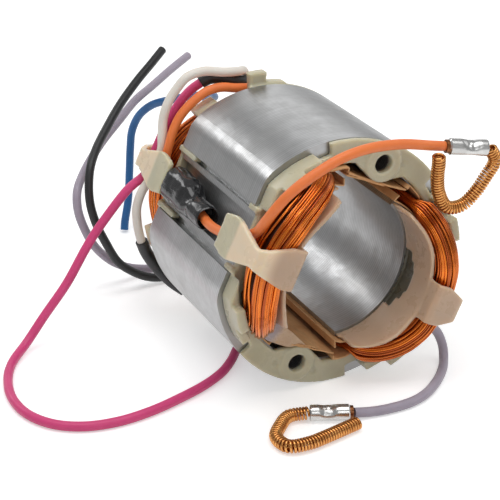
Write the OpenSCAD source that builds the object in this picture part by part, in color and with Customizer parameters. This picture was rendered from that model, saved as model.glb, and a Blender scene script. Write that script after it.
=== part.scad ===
// Wound field stator of a two-pole universal motor, lying on its side.
// Origin: middle of the armature bore. Y runs along the bore, the front faces -Y, Z is up.

/* [Steel stack] */
// Outside diameter of the stack
stack_d = 80; // [72:1:90]
// Length of the stack along the bore
stack_len = 51; // [40:1:70]
// Depth of the ring from the bore to the outside
ring_t = 16; // [15.5:0.1:17]
// Depth of the flats cut behind the two poles
flat_cut = 4.9; // [4:0.1:5.5]
// Radius that blends each flat into the round outside
flat_blend = 10; // [4:0.5:12]
// Thickness of the yoke between slot and outside
yoke_t = 7.7; // [7:0.1:8.5]
// Angle that each pole face covers
pole_arc = 129; // [124:1:132]
// Width of the neck that carries each pole
neck_w = 30; // [27:0.5:31]
// Thickness of the pole at its two tips
tip_t = 1.6; // [1.2:0.1:2]
// Depth of the pole shoe at its middle
shoe_depth = 7; // [6.5:0.1:7.5]
// Turn of the whole stator about the bore, as it lies
roll = 24.8; // [0:0.1:40]

/* [Screw holes] */
// Distance of the two through holes from the outside
hole_inset = 6.5; // [6:0.1:7]
// Diameter of the through holes
hole_d = 5.8; // [4.5:0.1:6.4]
// Diameter of the steel lug round each hole
lug_d = 10.6; // [9:0.2:11]

/* [Pole back channel] */
// Width over both grooves of the channel
channel_w = 21.4; // [20:0.2:23]
// Width of each groove
groove_w = 2.1; // [1.8:0.1:2.4]
// Depth of each groove
groove_depth = 3; // [2.4:0.1:3.6]
// Width of the rail between groove and recess
rail_w = 1.7; // [1.2:0.1:2]
// Drop of the rail below the flat
rail_drop = 1.5; // [0.5:0.1:2]
// Depth of the recess in the middle
recess_depth = 4.1; // [3.4:0.1:5]

/* [End frames] */
// Thickness of the plate on the stack's face
plate_t = 2; // [1.4:0.1:2.6]
// Width of the steel rim left bare beside the plate
bare_rim = 4; // [3:0.1:5]
// Half angle of the pads that reach the outside
pad_half = 30; // [26:1:34]
// Gap between a moulding and the steel edge it follows
mould_gap = 0.6; // [0.4:0.1:0.8]
// Thickness of the curved wall between bore and coil
wall_t = 1.3; // [1:0.1:2]
// Height of that wall above the steel
wall_h = 15; // [12:0.5:16]
// Angle that the right wall covers
wall_arc = 124; // [116:1:126]
// Angle that the left wall covers
left_wall_arc = 112; // [100:1:126]
// Thickness of the arms over the coil
arm_t = 2; // [1.6:0.1:2.6]
// Width of an arm at the wall
arm_root_w = 12.6; // [11:0.2:14]
// Width of an arm at its outer end
arm_end_w = 6.2; // [5:0.2:8]
// Thickness of the lead hook's plate
hook_t = 1.8; // [1.4:0.1:2.2]
// Greatest width of the lead hook
hook_w = 12.8; // [11:0.2:14]
// Reach of the lead hook back past the stack's face
hook_back = 5; // [3:0.5:8]
// Thickness of the guard walls outside the coil
guard_t = 3; // [2.4:0.1:3.2]
// Height of the guard walls at the front
guard_h = 6; // [4:0.5:8]
// Height of the guard walls at the rear
rear_guard_h = 2.6; // [2.2:0.1:8]
// Height of the guard lugs at the front
front_lug_h = 10; // [8:0.5:12]
// Height of the guard lugs at the rear
rear_lug_h = 9.5; // [8:0.5:12]
// Height of the ring round each screw hole
boss_h = 2.8; // [2.4:0.1:4]
// Length of the legs that enter the grooves at the front
front_leg = 3.5; // [2:0.5:6]
// Length of the legs that enter the grooves at the rear
rear_leg = 10; // [6:0.5:12]

/* [Coils] */
// Depth of the coil heads inside the stack's outside
coil_setback = 5.2; // [5:0.1:6]
// Height of the coil heads above the steel at the front
front_rise = 18; // [16:0.1:19]
// Height of the coil heads above the steel at the rear
rear_rise = 15.9; // [15.5:0.1:17]
// Inside corner radius of a coil
coil_corner = 4; // [3:0.1:4.5]
// Depth of the grooves between neighbouring turns
turn_groove = 0.5; // [0.2:0.05:0.7]
// Thickness of the slot paper
paper_t = 0.45; // [0.3:0.05:0.6]
// Length of paper standing out at each end
paper_out = 3.5; // [2:0.1:4]

/* [Leads] */
// Diameter of the insulated leads
lead_d = 3; // [2.6:0.1:3.2]
// Diameter of the black sleeves on the lead joints
joint_d = 4.2; // [3.6:0.1:4.4]
// Diameter of the splice sleeve in the channel
splice_d = 9.4; // [8:0.1:10]
// Width of the sleeve's flattened rear half
splice_w = 12.4; // [10.5:0.1:13.4]
// Length of the splice sleeve
splice_len = 26; // [24:0.5:30]
// Diameter of the crimp inside the splice sleeve
crimp_d = 4.8; // [4:0.1:5]
// Length of the crimp inside the splice sleeve
crimp_len = 12; // [8:1:14]
// Diameter of the tin ferrules
ferrule_d = 5; // [4.6:0.1:5.2]
// Outside diameter of the contact springs
spring_d = 4.2; // [3.6:0.1:4.4]
// Diameter of the spring wire
spring_wire = 1; // [0.8:0.05:1.1]
// Number of turns on each contact spring
spring_turns = 38; // [30:1:42]

/* [Hidden] */
$fn = 96;

far = 200;
stack_r = stack_d / 2;
bore_r = stack_r - ring_t;
flat_x = stack_r - flat_cut;
// Centre of the blend, and where it leaves the round outside
blend_x = flat_x - flat_blend;
blend_y = sqrt((stack_r - flat_blend) ^ 2 - blend_x ^ 2);
blend_end = blend_x * stack_r / (stack_r - flat_blend);
face_z = stack_len / 2;
hole_r = stack_r - hole_inset;
coil_r = stack_r - coil_setback;
window_r = stack_r - yoke_t;
tip_r = bore_r + tip_t;
shoe_top = bore_r + shoe_depth;
// Circle through both pole tips and the top of the shoe
shoe_x = (shoe_top ^ 2 - tip_r ^ 2) / (2 * (shoe_top - tip_r * cos(pole_arc / 2)));
shoe_r = shoe_top - shoe_x;
recess_half = channel_w / 2 - groove_w - rail_w;

// Clearances between the pieces
fit = 0.1;
slip = 0.3;
paper_gap = 0.15;
slot_end = 69;
paper_flap = 3;
paper_stub = 1.2;
paper_in = paper_gap + paper_t;

// End frame, measured from the stack's face
frame_r = stack_r - bare_rim;
frame_x = flat_x - 1.3;
wall_in = bore_r + mould_gap;
wall_out = wall_in + wall_t;
wall_round = 10;
arm_gap = 0.3;
root_run = 1.6;
bridge_half = 10.2;
hook_in = coil_r + lead_d + 0.4;
hook_out = hook_in + hook_t;
lip = 2;
arm_end = coil_r + lip;
guard_in = coil_r + 0.4;
guard_out = guard_in + guard_t;
guard_from = 16;
guard_to = 52;
lug_from = 30;
rear_lug_from = 32.4;
lug_arc = 12;
leg_t = groove_w - 2 * fit;
leg_deep = groove_depth - 2 * fit;
dimple_d = 2.6;
dimple_x = 7;
dimple_deep = 0.5;
fin_low = 101;
fin_from = 111;
fin_to = 119;
fin_top = stack_r + 4;
fin_t = 2.4;
notch_h = 4.6;
notch_deep = 0.8;
notch_floor = 0.5;

// Coil, as a racetrack wrapped round the bore axis
coil_in = wall_out + 0.8;
coil_low = plate_t + 0.7;
wrap_r = stack_r - 10;
slot_out = window_r - paper_in - slip;
// Each coil side lies between the pole's neck and the end of its slot
neck_room = 2.15;
side_from = asin((neck_w / 2 + paper_in + slip + neck_room) / slot_out);
side_to = slot_end - 4.4;
side_w = wrap_r * (side_to - side_from) * PI / 180;
side_mid = wrap_r * (side_to + side_from) * PI / 360;
track_r = coil_corner + side_w / 2;
lobes = 14;
section_points = 2 * lobes;

// Splice sleeve, on the floor of the left recess and against its lower side
splice_x = -(flat_x - recess_depth + fit + splice_d / 2);
splice_y = -(recess_half - fit - splice_d / 2);
splice_rear = -face_z + hook_back + slip;
crimp_rear = splice_rear + 6.2;
sleeve_bore = crimp_d + 2 * fit;
mouth_d = 6.6;

lead_sides = 8;
ferrule_wall = 0.7;
ferrule_bore_deep = 3;
wire_sides = 4;
turn_points = 7;

// Routes of the leads, in the part's own frame, drawn for a stack of this radius and half length
route_r = 40;
route_z = 25.5;
pink_sleeve_route = [[30, 40, 10.8], [28, 45.4, 15.5], [21.5, 46, 22.5], [13, 43.8, 28.6], [8, 41, 32.6],
    [4, 38.6, 36], [-2.5, 35.7, 38.9], [-7.5, 36.5, 40.6], [-11.5, 37.5, 41], [-14, 38, 40]];
pink_route = [[-14.4, 38.05, 39.8], [-18.5, 39, 37], [-22.5, 39, 33.2], [-27, 38.8, 27],
    [-30.6, 38.5, 20.4],
    [-33.2, 38.5, 15.3], [-35.4, 38.5, 10.9], [-42, 39, 6], [-52, 39, -5], [-57.5, 38, -11.5],
    [-65, 36, -21], [-74, 34, -30], [-81, 31.5, -36.5], [-88, 25, -38.5], [-92.5, 16, -38.5],
    [-95, 5, -38.5], [-94, -6, -38.5], [-89, -15, -38.5], [-81, -20.5, -38.5], [-71, -22.5, -38.5],
    [-60, -21.5, -38.5], [-49, -18.5, -38.5], [-39.5, -15, -38.5], [-31.5, -10.5, -38.5],
    [-25.5, -5, -38.5], [-21, 0.5, -38.5]];
black_route = [[9.1, 37.75, -31.5], [8, 44, -33.5], [4.5, 51, -37], [-3, 56, -38.4], [-12, 58, -38.4],
    [-21.5, 57.5, -38.2], [-28, 57, -36.5], [-34, 56.5, -32.8], [-39.5, 56, -27.5], [-43.5, 56, -19.5],
    [-46.5, 57, -11.5], [-47.5, 59, -3.5], [-45.5, 63, 4.5], [-41, 68.5, 9.5], [-35, 74, 14],
    [-27, 80.5, 19.5], [-18, 87, 24.5], [-10, 92, 28.5], [-4, 96, 31.5]];
rear_lilac_route = [[15.7, 40.9, -27.5], [15.5, 48, -30.5], [13, 55.5, -35.5], [6, 62, -38.3],
    [-3, 65.5, -38.5], [-12, 66, -38.5], [-20.5, 65.5, -38.4], [-27.5, 65, -37], [-34, 63.5, -34],
    [-40, 62, -29.5], [-45.5, 60.5, -23], [-49, 60, -16], [-51, 61, -8.5], [-50, 64, -2.5],
    [-46, 69, 1], [-40, 75.5, 4], [-32, 84, 6.5], [-22, 93, 9.5], [-13.5, 100, 12.5],
    [-3.5, 107, 14.5], [7, 114, 17], [16.5, 120, 19]];
blue_route = [[-10.55, 39.35, 29], [-9.5, 46, 29.5], [-6, 53.5, 28], [0, 61, 24.5], [3, 70, 21.5],
    [3.5, 79, 18.5], [1.5, 87.5, 15.5], [-2, 96, 12], [-5.5, 104, 8], [-8.5, 109.5, 2.5],
    [-10.5, 112, -4], [-11.5, 112, -11], [-13, 110, -20], [-15, 107, -29], [-18, 103.5, -36],
    [-19, 102, -39.2]];
white_route = [[30.4, 41.05, 6.6], [29.2, 45.8, 8.5], [24, 47.6, 13], [17, 48.4, 20.5], [10, 47.4, 27],
    [5, 45.2, 33], [2.6, 42.4, 37.8], [0, 38.5, 41.8], [-4, 34.8, 43.3], [-9, 34.2, 43.8],
    [-15.5, 35, 44.5], [-21, 35.5, 43], [-24.5, 36, 39.5], [-27.5, 36, 35.5], [-29.5, 35.8, 30.5],
    [-30.4, 35, 25], [-30.9, 34.7, 20.3], [-33.2, 34.6, 15.3], [-35, 34.5, 11.2], [-38.3, 34.5, 7],
    [-40, 35, 1.5], [-39.8, 35.5, -4.5], [-38.7, 36, -10.3], [-38, 36, -12.4]];
white_sleeve_route = [[-37.95, 36, -12.55], [-36.6, 36, -16.2], [-34, 34.5, -21], [-30, 32, -26],
    [-26, 30, -29.5]];
rear_orange_route = [[27.85, 37.6, 13.85], [26, 41.5, 20], [20.5, 40, 27.5], [12.5, 35.5, 33.5],
    [3, 32.4, 36.5],
    [-6, 31.6, 38.2], [-11.1, 31.6, 39.2], [-16.1, 31.8, 38.5], [-21, 32, 35.6], [-25.3, 32, 31.6],
    [-28, 31.8, 27], [-29.8, 31.4, 22.2], [-31.2, 31, 18.3], [-32.6, 30.2, 15.2], [-33.3, 28, 13.4],
    [-33.4, 25.5, 13.1], [-33.4, 18, 13.1], [-33.4, 14.2, 13.1]];
front_orange_route = [[-33.4, 1.8, 13.1], [-33.6, -2, 12.9], [-34, -7, 12.5], [-34.2, -13, 13],
    [-33.6, -21, 14.4], [-32.5, -28, 16.7], [-31, -33.5, 19.8], [-30.6, -37.3, 23.8], [-29, -40, 28.3],
    [-26, -42, 33], [-22, -43, 36.5], [-17.5, -43.3, 39], [-9.5, -43, 42], [0, -42, 43], [12, -40, 41.5],
    [24, -38, 38.2], [28.5, -37.6, 37.1]];
front_lilac_route = [[26.9, -33.25, -22.35], [31, -32, -26], [34.5, -31.5, -30], [36, -32.5, -34.5],
    [35, -35, -38], [32, -39, -38.5], [27, -44, -38.5], [20, -49, -38.5], [13, -51.5, -38.5],
    [5, -51.8, -38.5], [-1, -51, -38.4], [-6.3, -50.1, -37.8]];
orange_ferrule_ends = [[28.8, -37.6, 37], [41.2, -41, 35.5]];
lilac_ferrule_ends = [[-6.6, -50, -37.5], [-18.5, -44.8, -37.5]];
orange_spring_route = [[42.2, -41.25, 35.4], [44.2, -41.4, 31.1], [41.7, -40.8, 26.1], [38.6, -40.4, 21.5],
    [34.4, -39.9, 17.9], [29.4, -39.3, 18.2], [26.6, -38.8, 23], [25.6, -38.4, 28.4], [26, -38.2, 34]];
lilac_spring_route = [[-8, -55.4, -37.8], [-14.1, -56.6, -37.8], [-20.1, -57.8, -37.8],
    [-26.2, -58.6, -37.8],
    [-32.2, -57.4, -37.8], [-33.3, -51.8, -37.8], [-29.6, -46.9, -37.8], [-24.7, -43.2, -37.8],
    [-19.05, -44.55, -37.5]];

// Vectors and smooth steps
function unit(v) = v / norm(v);
function across(t) = abs(t.z) < 0.8 ? unit(cross(t, [0, 0, 1])) : unit(cross(t, [1, 0, 0]));
function ease(x) = let (c = max(0, min(1, x))) c * c * (3 - 2 * c);
function mix(a, b, k) = a + (b - a) * k;

// Directions along a route, and a side direction carried along it without twist
function headings(pts) = [for (i = [0 : len(pts) - 1])
    unit(pts[min(i + 1, len(pts) - 1)] - pts[max(i - 1, 0)])];
function carried(dirs, list, i) = i == len(dirs) ? list :
    let (last = list[i - 1])
    carried(dirs, concat(list, [unit(last - dirs[i] * (last * dirs[i]))]), i + 1);
function sides_of(dirs) = carried(dirs, [across(dirs[0])], 1);

// Point of a smooth curve through a route, where t counts the route's points
function smooth_at(pts, t) =
    let (i = min(floor(t), len(pts) - 2), f = t - i,
        b = pts[i], c = pts[i + 1],
        a = i > 0 ? pts[i - 1] : 2 * b - c,
        d = i + 2 < len(pts) ? pts[i + 2] : 2 * c - b)
    b + 0.5 * f * (c - a + f * (2 * a - 5 * b + 4 * c - d + f * (3 * (b - c) + d - a)));

// Faces of a tube of rings, open with end caps or closed on itself
function wall_between(i, j, sides) = [for (k = [0 : sides - 1])
    let (n = (k + 1) % sides)
    each [[i * sides + k, j * sides + n, i * sides + n], [i * sides + k, j * sides + k, j * sides + n]]];
function tube_walls(rings, sides) = [for (i = [0 : rings - 2]) each wall_between(i, i + 1, sides)];
function loop_walls(rings, sides) = [for (i = [0 : rings - 1]) each wall_between(i, (i + 1) % rings,
    sides)];

// A route moved out and along with the stack's own sizes
function follow(route) = [for (p = route)
    let (out = max(norm([p.x, p.z]), 1), along = max(-1, min(1, (p.y + 12.25) / 13.25)))
    p + (stack_r - route_r) * [p.x, 0, p.z] / out + [0, along * (face_z - route_z), 0]];

module tube(route, d, sides) {
    dirs = headings(route);
    side = sides_of(dirs);
    rings = len(route);
    points = [for (i = [0 : rings - 1]) for (k = [0 : sides - 1])
        let (a = 360 * k / sides)
        route[i] + d / 2 * (cos(a) * side[i] + sin(a) * cross(dirs[i], side[i]))];
    caps = [[for (k = [0 : sides - 1]) k], [for (k = [sides - 1 : -1 : 0]) (rings - 1) * sides + k]];
    polyhedron(points, concat(caps, tube_walls(rings, sides)));
}

module lead(route) {
    tube(follow(route), lead_d, lead_sides);
}

// Wire wound along a route as a close helix
module wound_spring(route) {
    steps = spring_turns * turn_points;
    axis = [for (i = [0 : steps]) smooth_at(route, (len(route) - 1) * i / steps)];
    dirs = headings(axis);
    side = sides_of(dirs);
    turn_r = (spring_d - spring_wire) / 2;
    helix = [for (i = [0 : steps])
        let (a = 360 * i / turn_points)
        axis[i] + turn_r * (cos(a) * side[i] + sin(a) * cross(dirs[i], side[i]))];
    tube(helix, spring_wire, wire_sides);
}

// From the stator's own frame (x along the poles, y along the screw holes, z to the front)
module place() {
    rotate([0, roll, 0]) rotate([90, 0, 0]) children();
}

module at_front_face() {
    place() translate([0, 0, face_z]) children();
}

module at_rear_face() {
    place() mirror([0, 0, 1]) translate([0, 0, face_z]) children();
}

module both_poles() {
    children();
    mirror([1, 0, 0]) children();
}

module both_holes() {
    for (s = [-1, 1]) translate([0, s * hole_r]) children();
}

// Flat sector about the x axis, wide enough to cut any outline
module sector(half_angle) {
    polygon([[0, 0], [far * cos(half_angle), -far * sin(half_angle)], [2 * far, 0],
        [far * cos(half_angle), far * sin(half_angle)]]);
}

// Outline of one pole, grown or shrunk all round by an amount
module pole_outline(grow) {
    difference() {
        union() {
            translate([bore_r / 2, -neck_w / 2 - grow]) square([window_r, neck_w + 2 * grow]);
            intersection() {
                translate([shoe_x, 0]) circle(r = shoe_r + grow);
                sector(pole_arc / 2 + grow);
            }
        }
        circle(r = bore_r - grow);
    }
}

// Opening inside the yoke: bore and slots, with the lugs round the screw holes left
module window_outline(grow) {
    difference() {
        circle(r = window_r + grow);
        both_poles() pole_outline(-grow);
        both_holes() circle(d = lug_d - 2 * grow);
    }
}

module channel_cut() {
    translate([flat_x - groove_depth, 0]) for (s = [-1, 1])
        translate([0, s * (channel_w - groove_w) / 2 - groove_w / 2]) square([far, groove_w]);
    translate([flat_x - rail_drop, -channel_w / 2]) square([far, channel_w]);
    translate([flat_x - recess_depth, -recess_half]) square([far, 2 * recess_half]);
}

module stack_outline() {
    difference() {
        union() {
            intersection() {
                circle(d = stack_d);
                square([2 * blend_end, 2 * stack_d], center = true);
            }
            square([2 * flat_x, 2 * blend_y], center = true);
            for (sx = [-1, 1], sy = [-1, 1]) translate([sx * blend_x, sy * blend_y]) circle(r = flat_blend);
        }
        window_outline(0);
        both_holes() circle(d = hole_d);
        both_poles() channel_cut();
    }
}

module lamination_stack() {
    color("silver") place() translate([0, 0, -face_z]) linear_extrude(stack_len) stack_outline();
}

// End frame: plate outline with full pads beside the screw holes
module plate_outline() {
    intersection() {
        difference() {
            circle(d = stack_d);
            window_outline(mould_gap / 2);
            circle(r = wall_in);
        }
        union() {
            circle(r = frame_r);
            for (a = [90, 270]) rotate(a) sector(pad_half);
        }
        square([2 * frame_x, 2 * stack_d], center = true);
    }
}

// Curved wall between the bore and a coil head, with round shoulders
module pole_wall(arc) {
    wall_half_w = wall_out * sin(arc / 2) + slip;
    shoulder = wall_half_w - wall_round;
    intersection() {
        linear_extrude(wall_h) intersection() {
            difference() {
                circle(r = wall_out);
                circle(r = wall_in);
            }
            sector(arc / 2);
        }
        rotate([90, 0, 90]) linear_extrude(stack_r) union() {
            translate([-shoulder, 0]) square([2 * shoulder, wall_h]);
            translate([-wall_half_w, 0]) square([2 * wall_half_w, wall_h - wall_round]);
            for (s = [-1, 1]) translate([s * shoulder, wall_h - wall_round]) circle(r = wall_round);
        }
    }
}

// Arm from the wall over a coil head of the given rise: side profile cut to a tapering plan
module arm(reach, drop, rise) {
    under = rise + arm_gap;
    top = under + arm_t;
    root = wall_in + 0.2;
    heel = wall_out - 0.2;
    intersection() {
        rotate([90, 0, 0]) translate([0, 0, -stack_r]) linear_extrude(stack_d) polygon([
            [root, wall_h - 3], [root, top - 1], [wall_in + root_run, top], [reach - drop, top],
            [reach, top - drop], [reach - arm_t / 2, top - drop - arm_t / 2],
                [reach - drop - arm_t / 2, under],
            [wall_out + 1, under], [heel, under - 0.6], [heel, wall_h - 3]]);
        linear_extrude(stack_d) polygon([[0, -arm_root_w / 2], [wall_out + 3.5, -arm_root_w / 2],
            [reach, -arm_end_w / 2], [reach, arm_end_w / 2], [wall_out + 3.5, arm_root_w / 2],
            [0, arm_root_w / 2]]);
    }
}

// Plate behind an arm's end that traps the leads beside the coil head
module lead_hook(rise) {
    top = rise + arm_gap + arm_t;
    waist = top - lip / 2 - 2 * hook_t;
    translate([hook_in, 0, 0]) rotate([90, 0, 90]) linear_extrude(hook_t) polygon([
        [-arm_end_w / 2, top - lip], [-arm_end_w / 2, waist], [-hook_w / 2, guard_h / 2],
        [-hook_w / 2, 0], [-hook_w / 2 + 1.2, -hook_back], [hook_w / 2 - 1.2, -hook_back], [hook_w / 2, 0],
        [hook_w / 2, guard_h / 2], [arm_end_w / 2, waist], [arm_end_w / 2, top - lip]]);
}

// Guard wall outside a coil head, with a taller lug on it
module guard(low_h, lug_h, from_angle) {
    module band(from, to, h) {
        linear_extrude(h) intersection() {
            difference() {
                circle(r = guard_out);
                circle(r = guard_in);
            }
            rotate((from + to) / 2) sector((to - from) / 2);
            square([2 * frame_x, 2 * stack_d], center = true);
        }
    }
    band(guard_from, guard_to, low_h);
    band(from_angle, from_angle + lug_arc, lug_h);
}

// Two legs that slide into the grooves of a pole's back
module legs(len) {
    for (s = [-1, 1]) {
        y = s * (channel_w - groove_w) / 2;
        translate([flat_x - groove_depth + fit, y - leg_t / 2, -len + leg_t / 2])
            cube([leg_deep, leg_t, len + plate_t - leg_t / 2]);
        translate([flat_x - groove_depth + fit, y, -len + leg_t / 2])
            rotate([0, 90, 0]) cylinder(d = leg_t, h = leg_deep);
    }
}

// Plate carried in round each screw hole, over the steel lug
module lug_bridge() {
    for (s = [0, 1]) mirror([0, s]) hull() {
        translate([0, hole_r]) circle(d = lug_d + 2 * mould_gap);
        translate([-bridge_half, window_r - 0.5]) square([2 * bridge_half, 2]);
    }
}

// Parts that both end frames share, drawn on a face looking out along z
module frame_body(low_h, lug_h, from_angle, leg_len, rise) {
    linear_extrude(plate_t) {
        plate_outline();
        lug_bridge();
    }
    both_holes() cylinder(d = lug_d + 2 * mould_gap, h = boss_h);
    both_poles() {
        guard(low_h, lug_h, from_angle);
        mirror([0, 1, 0]) guard(low_h, lug_h, from_angle);
        legs(leg_len);
    }
    pole_wall(wall_arc);
    arm(arm_end, lip, rise);
    mirror([1, 0, 0]) {
        pole_wall(left_wall_arc);
        arm(hook_out, lip, rise);
        lead_hook(rise);
    }
}

module frame_holes() {
    both_holes() translate([0, 0, -fit]) cylinder(d = hole_d, h = boss_h + 2 * fit);
    for (sx = [-1, 1], sy = [-1, 1])
        translate([sx * dimple_x, sy * (hole_r + 1.5),
            plate_t - dimple_deep]) cylinder(d = dimple_d, h = plate_t);
}

// Stepped recess along the foot of the right wall, on its bore side
module wall_notch() {
    for (step = [[-20, -12, 0.5], [-12, -5, 0.9], [-5, 12, 1.1], [12, 17, 0.95], [17, 24, 0.6]])
        translate([0, 0, notch_floor]) linear_extrude(notch_h * step[2] + 0.6) intersection() {
            circle(r = wall_in + notch_deep);
            rotate((step[0] + step[1]) / 2) sector((step[1] - step[0]) / 2 + 0.5);
        }
}

// Fin on the rear top pad that keeps the leads off the face, low on one side and tall on the other
module lead_fin() {
    module band(from, to, r) {
        translate([0, 0, plate_t / 2]) linear_extrude(fin_t + plate_t / 2) intersection() {
            difference() {
                circle(r = r);
                circle(r = frame_r + fit);
            }
            rotate((from + to) / 2) sector((to - from) / 2);
        }
    }
    band(fin_low, fin_from + 1, stack_r + 0.6);
    band(fin_from, fin_to, fin_top);
}

module front_end_frame() {
    color("beige") at_front_face() difference() {
        frame_body(guard_h, front_lug_h, lug_from, front_leg, front_rise);
        frame_holes();
        wall_notch();
    }
}

module rear_end_frame() {
    color("beige") at_rear_face() difference() {
        union() {
            frame_body(rear_guard_h, rear_lug_h, rear_lug_from, rear_leg, rear_rise);
            lead_fin();
        }
        frame_holes();
    }
}

// Coil: outer edge of the pole shoe at an angle from the pole's middle
function shoe_edge(a) = shoe_x * cos(a) + sqrt(shoe_r ^ 2 - (shoe_x * sin(a)) ^ 2);

// Racetrack in the unrolled plane: place, outward direction and head width of each station
straight_steps = 3;
corner_steps = 6;
head_steps = 5;
corner_s = side_mid - track_r;
function head_w(rise) = rise - coil_low;
function head_mid(rise) = face_z + coil_low + head_w(rise) / 2;
function corner_z(rise) = head_mid(rise) - track_r;
function quarter(rise) = concat(
    [for (i = [0 : corner_steps - 1]) let (a = 90 * i / corner_steps)
        [corner_s + track_r * cos(a), corner_z(rise) + track_r * sin(a), cos(a), sin(a), head_w(rise)]],
    [for (i = [0 : head_steps - 1]) [corner_s * (1 - i / head_steps), head_mid(rise), 0, 1, head_w(rise)]]);
function turned_back(list) = [for (i = [len(list) - 1 : -1 : 0])
    [-list[i][0], list[i][1], -list[i][2], list[i][3], list[i][4]]];
function head_half(rise) = concat(quarter(rise), turned_back(quarter(rise)));
function opposite(list) = [for (p = list) [-p[0], -p[1], -p[2], -p[3], p[4]]];
function side_run(s) = [for (i = [1 : straight_steps - 1])
    [s * side_mid, mix(-s * corner_z(s > 0 ? rear_rise : front_rise),
    s * corner_z(s > 0 ? front_rise : rear_rise),
        i / straight_steps), s, 0, side_w]];
coil_track = concat(side_run(1), head_half(front_rise), side_run(-1), opposite(head_half(rear_rise)));

// One point of the coil's surface: station p, place round the section from cos and sin
function coil_point(p, c, s, dip) =
    let (half = mix(side_w, p[4], abs(p[3])) / 2 - dip,
        u = p[0] + p[2] * half * c,
        z = p[1] + p[3] * half * c,
        a = u / wrap_r * 180 / PI,
        head = ease((abs(z) - face_z - plate_t * 0.8) / 5),
        low = mix(shoe_edge(a) + paper_in + slip, coil_in, head),
        high = mix(slot_out, coil_r, head),
        r = mix(low + dip, high - dip, (1 + s) / 2))
    [r * cos(a), r * sin(a), z];

function squared(v) = sign(v) * pow(abs(v), 0.7);

module coil() {
    ring = [for (k = [0 : section_points - 1]) let (a = 360 * k / section_points)
        [squared(cos(a)), -squared(sin(a)), k % 2 == 0 ? 0 : turn_groove]];
    points = [for (p = coil_track) for (q = ring) coil_point(p, q[0], q[1], q[2])];
    polyhedron(points, loop_walls(len(coil_track), section_points));
}

module coil_right() {
    color("chocolate") place() coil();
}

module coil_left() {
    color("chocolate") place() rotate([0, 0, 180]) coil();
}

// Slot paper: the slot's outline less the same outline drawn in by the paper's thickness
module slot_outline(inset) {
    difference() {
        intersection() {
            circle(r = window_r - inset);
            translate([0, neck_w / 2 + inset]) square([far, far]);
        }
        translate([shoe_x, 0]) circle(r = shoe_r + inset);
        rotate(slot_end) translate([-far, -inset]) square([2 * far, far]);
    }
}

module slot_liner() {
    module sheet(out) {
        translate([0, 0, -face_z - out]) linear_extrude(stack_len + 2 * out) difference() {
            slot_outline(paper_gap);
            slot_outline(paper_in);
        }
    }
    difference() {
        union() {
            sheet(paper_stub);
            intersection() {
                sheet(paper_out);
                translate([0, 0,
                    -far]) linear_extrude(2 * far) rotate(slot_end - paper_flap) square([far, far]);
            }
        }
        for (s = [0, 1]) mirror([0, 0, s]) translate([0, 0, face_z - paper_gap])
            linear_extrude(2 * paper_out) intersection() {
                circle(r = wall_out + paper_gap);
                sector(wall_arc / 2 + 1);
            }
    }
}

module slot_liner_top_right() {
    color("peru") place() slot_liner();
}

module slot_liner_top_left() {
    color("peru") place() mirror([1, 0, 0]) slot_liner();
}

module slot_liner_bottom_right() {
    color("peru") place() mirror([0, 1, 0]) slot_liner();
}

module slot_liner_bottom_left() {
    color("peru") place() rotate([0, 0, 180]) slot_liner();
}

// Splice in the left channel: shrunk sleeve with a necked, open front end
module splice_sleeve() {
    r = splice_d / 2;
    neck = splice_len * 0.58;
    color("dimgray") place() translate([splice_x, splice_y, splice_rear]) difference() {
        union() {
            linear_extrude(neck) hull() for (y = [0, splice_w - splice_d]) translate([0, y]) circle(r = r);
            rotate_extrude() polygon([[0, neck / 2], [r - 0.4, neck / 2], [r - 0.4, neck + 1],
                [r - 0.9, neck + 2.4],
                [r - 0.3, neck + 4], [r - 0.4, splice_len - 0.8], [r - 0.8, splice_len], [0, splice_len]]);
        }
        translate([0, 0, -fit]) cylinder(d = sleeve_bore, h = splice_len);
        translate([0, 0, neck + 3]) cylinder(d = mouth_d, h = splice_len);
    }
}

module splice_crimp() {
    color("gainsboro") place() translate([splice_x, splice_y, crimp_rear]) difference() {
        cylinder(d = crimp_d, h = crimp_len);
        for (z = [0, crimp_len]) translate([crimp_d / 2, 0, mix(crimp_len * 0.3, crimp_len * 0.7,
            z / crimp_len)])
            rotate([90, 0, 0]) cylinder(d = 1.6, h = crimp_d, center = true);
    }
}

// Leads and the sleeves on their joints
module rear_orange_lead() {
    color("orangered") lead(rear_orange_route);
}

module white_lead() {
    color("ivory") lead(white_route);
}

module white_sleeve() {
    color("dimgray") tube(follow(white_sleeve_route), joint_d, lead_sides);
}

module pink_lead() {
    color("palevioletred") lead(pink_route);
}

module pink_sleeve() {
    color("dimgray") tube(follow(pink_sleeve_route), joint_d, lead_sides);
}

module black_lead() {
    color("darkslategray") lead(black_route);
}

module rear_lilac_lead() {
    color("thistle") lead(rear_lilac_route);
}

module blue_lead() {
    color("steelblue") lead(blue_route);
}

module front_orange_lead() {
    color("orangered") lead(front_orange_route);
}

module front_lilac_lead() {
    color("thistle") lead(front_lilac_route);
}

// Tin ferrule between two points, open at both ends, with two crimp dents
module ferrule(ends) {
    v = ends[1] - ends[0];
    len = norm(v);
    turn = atan2(v.y, v.x);
    tilt = acos(v.z / len);
    translate(ends[0]) rotate([0, tilt, turn]) difference() {
        cylinder(d = ferrule_d, h = len);
        for (z = [-fit, len - ferrule_bore_deep])
            translate([0, 0, z]) cylinder(d = ferrule_d - 2 * ferrule_wall, h = ferrule_bore_deep + fit);
        for (z = [0.4, 0.62]) translate([-ferrule_d / 2, 0, len * z])
            rotate([90, 0, 0]) cylinder(d = 1.8, h = ferrule_d, center = true);
    }
}

module orange_ferrule() {
    color("gainsboro") ferrule(follow(orange_ferrule_ends));
}

module lilac_ferrule() {
    color("gainsboro") ferrule(follow(lilac_ferrule_ends));
}

module orange_spring() {
    color("goldenrod") wound_spring(follow(orange_spring_route));
}

module lilac_spring() {
    color("goldenrod") wound_spring(follow(lilac_spring_route));
}

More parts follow.
